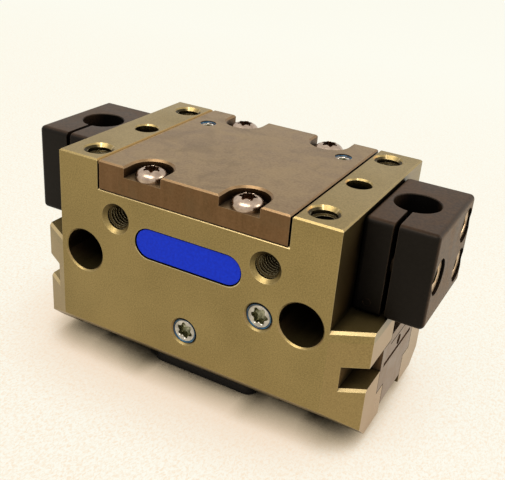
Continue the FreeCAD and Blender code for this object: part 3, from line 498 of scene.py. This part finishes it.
def makeCoverFinish(plan):
    material, tree, shader = newFinish("brownAnodising", plan["roughness"], plan["metallic"])
    grain, cloud, streaks = (noise(tree, **plan[key]) for key in ("grain", "cloud", "streaks"))
    body = twoTone(tree, plan, blend(tree, plan["weights"], grain, cloud, streaks))
    paintedShading, stain, worn, paintedShade = (plan[key] for key in ("paintedShading", "stain", "worn", "paintedShade"))
    # painted light: the tops are lightened in patches
    topLight = remap(tree, blend(tree, plan["topLight"]["weights"], cloud, grain), *plan["topLight"]["range"])
    body = mixColour(tree, times(tree, facing(tree, "Z", *paintedShading["facing"]), topLight), body, paintedShading["colour"])
    spots = remap(tree, noise(tree, **plan["stainNoise"]), *stain["range"])
    body = mixColour(tree, spots, body, stain["colour"])
    bare = blend(tree, worn["weights"], edgeMask(tree, worn["radius"]), tilted(tree, "Z", cutLean))
    body = mixColour(tree, bare, body, worn["colour"])
    # painted shade in the hollows, and a painted shade line along the seam just above the joint
    body = mixColour(tree, corners(tree, *paintedShade["corners"]), paintedShade["colour"], body)
    joint = times(tree, band(tree, "Z", *plan["joint"]["stripe"]), plan["joint"]["share"])
    body = mixColour(tree, joint, body, paintedShade["colour"])
    tree.links.new(body, shader.inputs["Base Color"])
    tree.links.new(remap(tree, cloud, *plan["gloss"]), shader.inputs["Roughness"])
    roughen(tree, shader, grain, *plan["bump"])
    return material


plasticFinish = {
    "roughness": 0.42,
    "index": 1.25,
    "dark": linear(10, 9, 8),
    "light": linear(19, 17, 15),
    "spread": (0.35, 0.65),
    "grain": {"scale": 2000.0},
    "smudge": {"scale": 110.0, "detail": 4.0, "distortion": 0.8},
    "weights": (0.5, 0.5),
    # dust that also paints the tops and ends lighter than the fronts
    "dustAndPaintedLight": {"colour": linear(70, 51, 37), "facing": (0.6, 0.98), "weights": (0.85, 1.0)},
    "dustPatches": (0.36, 0.64, 0.35, 1.0),
    "worn": {"colour": linear(78, 66, 54), "radius": 0.3, "share": 0.35},
    "hollows": (12.0, 0.35, 0.75),
    "clear": (14.0, 0.3, 0.88),
    "gleam": {"tint": (1.0, 0.84, 0.70, 1.0), "level": 0.46},
    "sheen": {"tint": (1.0, 0.66, 0.38, 1.0), "roughness": 0.4, "weight": 0.3},
    "gloss": (0.3, 0.7, 0.36, 0.5),
    "bump": (0.3, 0.02),
}


def makePlasticFinish(plan):
    material, tree, shader = newFinish("blackMoulding", plan["roughness"], 0.0, plan["index"])
    dustAndPaintedLight, worn, gleam, sheen = (plan[key] for key in ("dustAndPaintedLight", "worn", "gleam", "sheen"))
    shader.inputs["Specular Tint"].default_value = gleam["tint"]
    shader.inputs["Sheen Tint"].default_value = sheen["tint"]
    shader.inputs["Sheen Roughness"].default_value = sheen["roughness"]
    grain, smudge = (noise(tree, **plan[key]) for key in ("grain", "smudge"))
    tone = blend(tree, plan["weights"], grain, smudge)
    body = twoTone(tree, plan, tone)
    # a fine layer of dust on the tops and ends, partly painted light that makes these faces lighter than the
    # fronts
    tops, ends = (facing(tree, axis, *dustAndPaintedLight["facing"]) for axis in ("Z", "X"))
    dustAndPaintedLightMask = times(tree, blend(tree, dustAndPaintedLight["weights"], tops, ends), remap(tree, tone, *plan["dustPatches"]))
    body = mixColour(tree, dustAndPaintedLightMask, body, dustAndPaintedLight["colour"])
    body = mixColour(tree, times(tree, edgeMask(tree, worn["radius"]), worn["share"]), body, worn["colour"])
    # painted shade in the hollows
    body = mixColour(tree, corners(tree, *plan["hollows"]), plan["dark"], body)
    tree.links.new(body, shader.inputs["Base Color"])
    tree.links.new(remap(tree, smudge, *plan["gloss"]), shader.inputs["Roughness"])
    clear = corners(tree, *plan["clear"])
    tree.links.new(times(tree, clear, gleam["level"]), shader.inputs["Specular IOR Level"])
    tree.links.new(times(tree, dustAndPaintedLightMask, clear, sheen["weight"]), shader.inputs["Sheen Weight"])
    roughen(tree, shader, grain, *plan["bump"])
    return material


steelFinish = {
    "roughness": 0.36,
    "metallic": 0.85,
    "dark": linear(123, 101, 82),
    "light": linear(144, 119, 97),
    "spread": (0.35, 0.65),
    "lines": {"scale": 2400.0, "stretch": (1.0, 1.0, 0.05)},
    "cloud": {"scale": 160.0, "detail": 4.0, "distortion": 1.0},
    "weights": (0.6, 0.4),
    "darkEdges": {"colour": linear(30, 24, 18), "radius": 0.16, "share": 0.75},
    "gloss": (0.3, 0.7, 0.3, 0.45),
    "bump": (0.15, 0.02),
}


def makeSteelFinish(plan):
    material, tree, shader = newFinish("groundSteel", plan["roughness"], plan["metallic"])
    lines, cloud = (noise(tree, **plan[key]) for key in ("lines", "cloud"))
    body = twoTone(tree, plan, blend(tree, plan["weights"], lines, cloud))
    darkEdges = plan["darkEdges"]  # the jaw is darker along the edges of the slideways
    body = mixColour(tree, times(tree, edgeMask(tree, darkEdges["radius"]), darkEdges["share"]), body, darkEdges["colour"])
    tree.links.new(body, shader.inputs["Base Color"])
    tree.links.new(remap(tree, cloud, *plan["gloss"]), shader.inputs["Roughness"])
    roughen(tree, shader, lines, *plan["bump"])
    return material


threadColours = {
    "roughness": 0.3,
    "metallic": 1.0,
    "groove": linear(12, 9, 5),
    "flank": linear(60, 50, 30),
    "crest": linear(230, 216, 176),
    "grooveCorners": (0.8, 0.3, 0.8),
    "holeCorners": (6.0, 0.05, 0.4),
    "crestRadius": 0.1,
    "crestShare": 0.95,
    "grain": 1500.0,
    "bump": (0.2, 0.01),
}


def makeThreadFinish(plan):
    # bright crests, cut metal with painted glints, over flanks that darken with painted shade towards the
    # grooves and down the hole
    material, tree, shader = newFinish("cutThread", plan["roughness"], plan["metallic"])
    flank = mixColour(tree, corners(tree, *plan["grooveCorners"]), plan["groove"], plan["flank"])
    flank = mixColour(tree, corners(tree, *plan["holeCorners"]), plan["groove"], flank)
    crest = times(tree, edgeMask(tree, plan["crestRadius"]), plan["crestShare"])
    tree.links.new(mixColour(tree, crest, flank, plan["crest"]), shader.inputs["Base Color"])
    roughen(tree, shader, noise(tree, plan["grain"]), *plan["bump"])
    return material


# dark and light tone, roughness and grain of the plainer finishes, and what differs from the usual
plainUsual = {"metallic": 1.0, "index": 1.5, "spread": (0.35, 0.65), "bump": (0.2, 0.01)}
plainPlans = {
    "zincPlate": {"tones": ((162, 156, 146), (202, 196, 186)), "roughness": 0.2, "grain": 900.0},
    "yellowZinc": {"tones": ((190, 160, 126), (220, 192, 156)), "roughness": 0.34, "grain": 900.0},
    "warmPlate": {"tones": ((160, 140, 124), (190, 170, 152)), "roughness": 0.24, "grain": 900.0},
    # painted shade: the drive recesses and the shanks, seen deep in the bracket slots, get darker tones
    "warmRecessShade": {"tones": ((84, 62, 46), (128, 100, 80)), "roughness": 0.3, "grain": 900.0},
    "recessShadeSteel": {"tones": ((122, 120, 98), (170, 168, 142)), "roughness": 0.22, "grain": 900.0},
    "shadedShank": {"tones": ((40, 32, 24), (62, 50, 38)), "roughness": 0.4, "grain": 900.0},
    "turnedBronze": {"tones": ((150, 108, 58), (186, 142, 84)), "roughness": 0.32, "grain": 1200.0},
    "turnedAluminium": {"tones": ((176, 176, 176), (208, 208, 206)), "roughness": 0.3, "grain": 1200.0},
    # golden colour of the painted highlight strip in the cover seam
    "seamHighlight": {
        "tones": ((148, 118, 74), (180, 146, 96)), "roughness": 0.45, "grain": 700.0, "metallic": 0.7,
    },
    "blueSealant": {
        "tones": ((5, 36, 62), (20, 88, 122)), "roughness": 0.2, "grain": 700.0, "metallic": 0.0,
    },
    "nitrile": {
        "tones": ((18, 18, 18), (30, 30, 30)), "roughness": 0.65, "grain": 1500.0, "metallic": 0.0,
    },
    # lighter than the other black parts, as painted light on the plate's shaded front
    "litBlackPlate": {
        "tones": ((22, 21, 22), (30, 29, 30)), "roughness": 0.5, "grain": 2000.0, "metallic": 0.0,
        "index": 1.3,
    },
    "bluePrint": {
        "tones": ((4, 44, 206), (8, 54, 224)), "roughness": 0.45, "grain": 1800.0, "metallic": 0.0,
        "index": 1.25, "bump": (0.2, 0.004),
    },
}


def makePlainFinish(name, row):
    plan = {**plainUsual, **row}
    material, tree, shader = newFinish(name, plan["roughness"], plan["metallic"], plan["index"])
    plan["dark"], plan["light"] = (linear(*tone) for tone in plan["tones"])
    grain = noise(tree, plan["grain"])
    tree.links.new(twoTone(tree, plan, grain), shader.inputs["Base Color"])
    roughen(tree, shader, grain, *plan["bump"])
    return material


plainFinishes = {name: makePlainFinish(name, row) for name, row in plainPlans.items()}
plateFinishes = [plainFinishes["zincPlate"], plainFinishes["recessShadeSteel"]]
threadFinish = makeThreadFinish(threadColours)
slotFinishes = {
    "housing_anodised": makeHousingFinish(housingFinish),
    "cover_anodised": makeCoverFinish(coverFinish),
    "black_plastic": makePlasticFinish(plasticFinish),
    "jaw_steel": makeSteelFinish(steelFinish),
    "screw_steel": plainFinishes["zincPlate"],
    "seal_rubber": plainFinishes["nitrile"],
    "label_blue": plainFinishes["bluePrint"],
    "bush_bronze": plainFinishes["turnedBronze"],
    "piston_aluminium": plainFinishes["turnedAluminium"],
}
ownFinishes = {"centre_plate": plainFinishes["litBlackPlate"]}  # nodes that differ from the rest of their slot: the centre plate is painted lighter, as painted light on its shaded front


def paintNodes():
    for row in record["subparts"]:
        mesh = nodes[row["node"]].data
        mesh.materials.clear()
        mesh.materials.append(ownFinishes.get(row["node"], slotFinishes[row["material_slot"]]))


paintNodes()
print("finishes set")


def bodyOf(node):
    bodies = record["behaviour"]["bodies"]
    return next(body for body, members in bodies.items() if node in members)


def addPiece(name, body, points, faces, finishes, marks=None, crease=35):
    mesh = bpy.data.meshes.new(name)
    mesh.from_pydata([Vector(point) * mm for point in points], [], faces)
    for finish in finishes:
        mesh.materials.append(finish)
    if marks:
        mesh.polygons.foreach_set("material_index", marks)
    mesh.polygons.foreach_set("use_smooth", [True] * len(mesh.polygons))
    mesh.set_sharp_from_angle(angle=math.radians(crease))
    piece = addObject(name, mesh)
    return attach(piece, body)


def basisOf(axis):
    return Vector(axis).to_track_quat("Z", "Y").to_matrix()


def polar(reach, angle, level):
    return Vector((reach * math.cos(angle), reach * math.sin(angle), level))


def fourCorners(level):
    return [(i, j, level) for i in (-1, 1) for j in (-1, 1)]


starPlan = {"lobes": 6, "swell": 0.17}


def outline(shape, radius, angle):
    if shape == "star":
        return radius * (1 + starPlan["swell"] * math.cos(starPlan["lobes"] * angle))
    if shape == "hex":
        return radius / math.cos(angle % math.radians(60) - math.radians(30))
    return radius


headTurn = 0.7  # each screw of a group is turned on from the one before
recessRings = 3


def turnPieces(name, node, profile, spots, axis, steps=72, finishes=None):
    # profile runs from the tip up the outside and down into the recess, as shape, radius and height
    basis = basisOf(axis)
    finishes = finishes or plateFinishes
    recess = len(profile) - recessRings
    points, faces, marks = [], [], []
    for index, spot in enumerate(spots):
        first = len(points)
        for shape, radius, height in profile:
            for step in range(steps):
                angle = 2 * math.pi * step / steps
                reach = outline(shape, radius, angle)
                points.append(Vector(spot) + basis @ polar(reach, angle + index * headTurn, height))
        rings = [[first + ring * steps + step for step in range(steps)] for ring in range(len(profile))]
        faces.append(rings[0][::-1])
        marks.append(0)
        for course, (low, high) in enumerate(zip(rings, rings[1:])):
            shank = course == 0 and len(finishes) > 2  # a third finish is the shank's
            for step in range(steps):
                following = (step + 1) % steps
                faces.append((low[step], low[following], high[following], high[step]))
                marks.append(2 if shank else int(course >= recess))
        faces.append(rings[-1])
        marks.append(1)
    piece = addPiece(name, bodyOf(node), points, faces, finishes, marks)
    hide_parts(node)


def spotsOf(node, radius, signs, axis):
    # centres of round pieces in a node's box; along the axis the place is the outer face
    low, high = inMm(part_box(node))
    spots = []
    for row in signs:
        spot = []
        for index, sign in enumerate(row):
            inset = 0 if axis[index] else radius
            spot.append(high[index] - inset if sign > 0 else low[index] + inset)
        spots.append(spot)
    return spots


# a tip is the radius of a recess at its end, and how much deeper that lies
coverScrewPlan = {
    "headSize": 6.2, "headHeight": 2.0, "rim": 0.45, "shankSize": 3.0, "length": 11.8,
    "recess": 1.5, "lip": 0.02, "taper": 0.94, "depth": 1.1, "tip": (0.3, 0.25),
}
crownPlan = {"rise": 1.45, "sweep": 70, "draw": 1.55, "steps": 6}


def domed(size, plan):
    # rings of a pan head's crown, from its rim inwards up to the recess
    rings = []
    for step in range(plan["steps"] + 1):
        angle = math.radians(plan["sweep"]) * step / plan["steps"]
        radius = size / 2 - plan["rise"] * (1 - math.cos(angle)) * plan["draw"]
        rings.append(("round", radius, -plan["rise"] * (1 - math.sin(angle))))
    return rings


def makeCoverScrews(plan, crown):
    head, shank, recess = plan["headSize"] / 2, plan["shankSize"] / 2, plan["recess"]
    under, foot = -plan["headHeight"], -plan["depth"]
    tip, deeper = plan["tip"]
    profile = [
        ("round", shank, under - plan["length"]), ("round", shank, under),
        ("round", head, under), ("round", head, under + plan["rim"]),
        *domed(plan["headSize"], crown),
        ("star", recess, -plan["lip"]), ("star", recess * plan["taper"], foot),
        ("round", tip, foot - deeper),
    ]
    spots = spotsOf("cover_screws", head, fourCorners(1), up)
    finishes = [plainFinishes["warmPlate"], plainFinishes["warmRecessShade"]]
    turnPieces("coverScrews", "cover_screws", profile, spots, up, finishes=finishes)


# the two kinds of sealed plug; share sizes their recess, and phase starts the waves of their sealant
plugPlans = {
    "sidePlugs": {
        "node": "side_plugs", "axis": front, "signs": [(1, -1, 1), (-1, -1, -1)],
        "size": 5.0, "length": 4.0, "share": 1.0, "phase": 0.4,
    },
    "coverPlugs": {
        "node": "cover_plugs", "axis": up, "signs": [(-1, 1, 1), (1, 1, 1)],
        "size": 3.4, "length": 3.0, "share": 0.62, "phase": 3.0,
    },
}
plugHead = {
    "rim": 0.25, "recess": 1.5, "flare": 0.12, "lip": 0.03, "throat": 0.16, "taper": 0.92, "depth": 1.5,
    "tip": (0.3, 0.2),
}


def plugSpots(plug):
    return spotsOf(plug["node"], plug["size"] / 2, plug["signs"], plug["axis"])


def plugProfile(plug, head):
    radius, rim, share = plug["size"] / 2, head["rim"], plug["share"]
    recess, foot = head["recess"] * share, -head["depth"] * share
    tip, deeper = head["tip"]
    return [
        ("round", radius, -plug["length"]), ("round", radius, -rim), ("round", radius - rim, 0.0),
        ("star", recess + head["flare"], -head["lip"]), ("star", recess, -head["throat"]),
        ("star", recess * head["taper"], foot), ("round", tip * share, foot - deeper),
    ]


def makePlugs(plugs, head):
    for name, plug in plugs.items():
        turnPieces(name, plug["node"], plugProfile(plug, head), plugSpots(plug), plug["axis"])


socketPlan = {"headSize": 6.8, "headHeight": 3.2, "shankSize": 4.0, "rim": 0.35, "socket": 1.5, "depth": 2.0}
socketMouth = {"flare": 0.12, "throat": 0.15, "tip": (0.3, 0.5)}


def socketProfile(plan, length, mouth=socketMouth):
    head, shank, socket, rim = plan["headSize"] / 2, plan["shankSize"] / 2, plan["socket"], plan["rim"]
    under, foot = -plan["headHeight"], -plan["depth"]
    tip, deeper = mouth["tip"]
    return [
        ("round", shank, under - length), ("round", shank, under), ("round", head, under),
        ("round", head, -rim), ("round", head - rim, 0.0), ("hex", socket + mouth["flare"], 0.0),
        ("hex", socket, -mouth["throat"]), ("hex", socket, foot), ("round", tip, foot - deeper),
    ]


def makeSocketScrews(plan):
    finishes = [plainFinishes[name] for name in ("yellowZinc", "recessShadeSteel", "shadedShank")]
    for side, sign in sides:
        axis = (sign, 0, 0)
        kinds = {"clamp_screw": [(sign, 1, 1)], "bracket_screws": [(sign, 1, -1), (sign, 1, 1)]}
        for kind, signs in kinds.items():
            node = f"{side}_{kind}"
            low, high = inMm(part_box(node))
            profile = socketProfile(plan, high[0] - low[0] - plan["headHeight"])
            name = side + kind.title().replace("_", "")
            spots = spotsOf(node, plan["headSize"] / 2, signs, axis)
            turnPieces(name, node, profile, spots, axis, finishes=finishes)


smallPlan = {"headSize": 3.8, "headHeight": 1.3, "shankSize": 2.0, "rim": 0.2, "socket": 0.75, "depth": 0.8}
targetPlan = {"size": 2.0, "length": 4.0, "rim": 0.2, "socket": 0.45, "depth": 0.8, "tip": (0.1, 0.2)}
smallSteps = 48


def makePlateScrews(plan):
    node = "centre_plate_screws"
    low, high = inMm(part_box(node))
    spots = spotsOf(node, plan["headSize"] / 2, fourCorners(-1), down)
    profile = socketProfile(plan, high[2] - low[2] - plan["headHeight"])
    turnPieces("centrePlateScrews", node, profile, spots, down, smallSteps)


def makeTargetScrews(plan):
    radius, rim, socket, foot = plan["size"] / 2, plan["rim"], plan["socket"], -plan["depth"]
    tip, deeper = plan["tip"]
    profile = [
        ("round", radius, -plan["length"]), ("round", radius, -rim), ("round", radius - rim, 0.0),
        ("hex", socket, 0.0), ("hex", socket, foot), ("round", tip, foot - deeper),
    ]
    for side, sign in sides:
        node = f"{side}_target_screw"
        axis = (sign, 0, 0)
        spots = spotsOf(node, radius, [(sign, 1, 1)], axis)
        turnPieces(side + "TargetScrew", node, profile, spots, axis, smallSteps)


makeCoverScrews(coverScrewPlan, crownPlan)
makePlugs(plugPlans, plugHead)
makeSocketScrews(socketPlan)
makePlateScrews(smallPlan)
makeTargetScrews(targetPlan)
print("screws made")

# shares are of the pitch; the ridge grows from its first share as it winds on
threadPlan = {
    "turnSteps": 40, "crestShare": 0.06, "rootShare": 0.44, "heightShare": 0.52, "startShare": 0.45,
    "firstGrowth": 0.15, "growth": 2, "embed": 0.03, "crease": 50,
    "railPitch": 0.8, "railLength": 10.5, "portPitch": 0.8, "fingerPitch": 0.7, "fingerLength": 7.4,
}


def cutThread(name, body, spots, axis, size, pitch, length, plan):
    # one ridge winds down each hole from its mouth
    basis = basisOf(axis)
    wall = size / 2 + plan["embed"]
    crest = size / 2 - plan["heightShare"] * pitch
    section = [
        (wall, -plan["rootShare"]), (crest, -plan["crestShare"]),
        (crest, plan["crestShare"]), (wall, plan["rootShare"]),
    ]
    corner = len(section)
    count = int((length / pitch - 1) * plan["turnSteps"])
    points, faces = [], []
    for spot in spots:
        first = len(points)
        for step in range(count):
            angle = 2 * math.pi * step / plan["turnSteps"]
            grown = min(1.0, plan["firstGrowth"] + plan["growth"] * step / plan["turnSteps"])
            depth = -pitch * (plan["startShare"] * grown + step / plan["turnSteps"])
            for reach, shift in section:
                radius = wall - (wall - reach) * grown
                points.append(Vector(spot) + basis @ polar(radius, angle, depth + shift * grown * pitch))
        for step in range(count - 1):
            here = first + corner * step
            there = here + corner
            for edge in range(corner):
                following = (edge + 1) % corner
                faces.append((here + edge, here + following, there + following, there + edge))
        last = first + corner * (count - 1)
        faces.append([first + edge for edge in reversed(range(corner))])
        faces.append([last + edge for edge in range(corner)])
    piece = addPiece(name, body, points, faces, [threadFinish], None, plan["crease"])


def makeThreads(plan):
    row = mounts["back_bolts"]
    dims = row["dims"]
    x, y, z = Vector(row["pos_m"]) / mm
    halfX, halfY = dims["spacing_x_mm"] / 2, dims["spacing_y_mm"] / 2
    spots = [(x + i * halfX, y + j * halfY, z) for i in (-1, 1) for j in (-1, 1)]
    size = 2 * dims["hole_r_mm"]
    cutThread("railThreads", "base", spots, row["axis"], size, plan["railPitch"], plan["railLength"], plan)
    ports = [mounts[f"{side}_air_port"] for side in ("left", "right")]
    axis, dims = ports[0]["axis"], ports[0]["dims"]
    length = dims["length_mm"]
    spots = [Vector(port["pos_m"]) / mm + Vector(port["axis"]) * length / 2 for port in ports]
    cutThread("portThreads", "base", spots, axis, 2 * dims["r_mm"], plan["portPitch"], length, plan)
    for side in ("left", "right"):
        row = mounts[f"{side}_finger_bolts"]
        dims = row["dims"]
        middle = Vector(row["pos_m"]) / mm
        spots = [middle + Vector((i * dims["spacing_x_mm"] / 2, 0, 0)) for i in (-1, 1)]
        size = 2 * dims["hole_r_mm"]
        pitch, length = plan["fingerPitch"], plan["fingerLength"]
        cutThread(side + "FingerThreads", side + "_jaw", spots, row["axis"], size, pitch, length, plan)


makeThreads(threadPlan)
print("threads cut")


def layRings(name, body, rings, finish, sweep=96, crease=60):
    # each ring is a closed section swept round its axis
    points, faces = [], []
    for spot, axis, section in rings:
        basis = basisOf(axis)
        first = len(points)
        for step in range(sweep):
            angle = 2 * math.pi * step / sweep
            bead = section(angle)
            points += [Vector(spot) + basis @ polar(reach, angle, level) for reach, level in bead]
        count = len(bead)
        for step in range(sweep):
            here = first + count * step
            there = first + count * ((step + 1) % sweep)
            for edge in range(count):
                following = (edge + 1) % count
                faces.append((here + edge, there + edge, there + following, here + following))
    return addPiece(name, body, points, faces, [finish], None, crease)


# width and height are given as least and growth; waves as height, count and turns of phase
sealantPlan = {
    "width": (0.12, 0.30), "height": (0.05, 0.22), "root": -0.3,
    "middle": 0.5, "waves": ((0.32, 1, 1), (0.12, 3, 2), (0.06, 7, 1)),
    "inner": 0.45, "shoulder": (0.15, 0.7), "outer": 0.35, "feet": (0.1, 0.05, 0.08),
}


def sealantBead(plan, radius, phase):
    # an uneven bead, squeezed out more on one side
    def section(angle):
        waves = (size * math.sin(count * angle + turns * phase) for size, count, turns in plan["waves"])
        swell = max(plan["middle"] + sum(waves), 0.0)
        width, height = (low + rise * swell for low, rise in (plan["width"], plan["height"]))
        inner = radius - plan["inner"] * width
        inset, level = plan["shoulder"]
        deep, near, far = plan["feet"]
        return [
            (inner - deep, plan["root"]), (inner - near, 0.0), (radius - inset * width, level * height),
            (radius + plan["outer"] * width, height), (radius + far, plan["root"]),
        ]
    return section


def makeSealant(plan, plugs):
    rings = []
    for plug in plugs.values():
        for index, spot in enumerate(plugSpots(plug)):
            rings.append((spot, plug["axis"], sealantBead(plan, plug["size"] / 2, plug["phase"] + index)))
    layRings("sealantRings", "base", rings, plainFinishes["blueSealant"])


markPlan = {
    "inset": 2.8, "rise": 2.4, "radius": 0.75, "width": 0.16, "slope": 0.03, "height": 0.07, "root": -0.05,
    "sweep": 40,
}


def makeMouldMarks(plan):
    # the small raised ring that an ejector pin leaves on each bracket
    inner, outer = plan["radius"] - plan["width"] / 2, plan["radius"] + plan["width"] / 2
    height, root = plan["height"], plan["root"]
    bead = [(inner, root), (inner + plan["slope"], height), (outer - plan["slope"], height), (outer, root)]
    for side, sign in sides:
        node = f"{side}_sensor_bracket"
        low, high = inMm(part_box(node))
        spot = (low[0] + plan["inset"], low[1], low[2] + plan["rise"])
        if sign < 0:
            spot = (high[0] - plan["inset"], high[1], low[2] + plan["rise"])
        rings = [(spot, (0, -sign, 0), lambda angle: bead)]
        finish = slotFinishes["black_plastic"]
        piece = layRings(side + "MouldMark", bodyOf(node), rings, finish, plan["sweep"])


seamPlan = {"gap": 0.45, "overlap": 0.02, "inset": 0.3, "top": 0.3, "depth": 0.6}


def makeSeam(plan):
    # a golden strip in the seam on the side where the cover sits against the rail, a painted highlight for
    # the lit rail edge there
    low, high = inMm(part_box("back_cover"))
    top = high[2] - plan["top"]
    xs = (low[0] - plan["gap"] - plan["overlap"], low[0] + plan["overlap"])
    ys = (low[1] + plan["inset"], high[1] - plan["inset"])
    zs = (top - plan["depth"], top)
    points = [(x, y, z) for x in xs for y in ys for z in zs]
    faces = [(0, 1, 3, 2), (4, 6, 7, 5), (0, 4, 5, 1), (2, 3, 7, 6), (0, 2, 6, 4), (1, 5, 7, 3)]
    addPiece("seamHighlight", "base", points, faces, [plainFinishes["seamHighlight"]])


makeSealant(sealantPlan, plugPlans)
makeMouldMarks(markPlan)
makeSeam(seamPlan)
print("sealant, marks and seam laid")
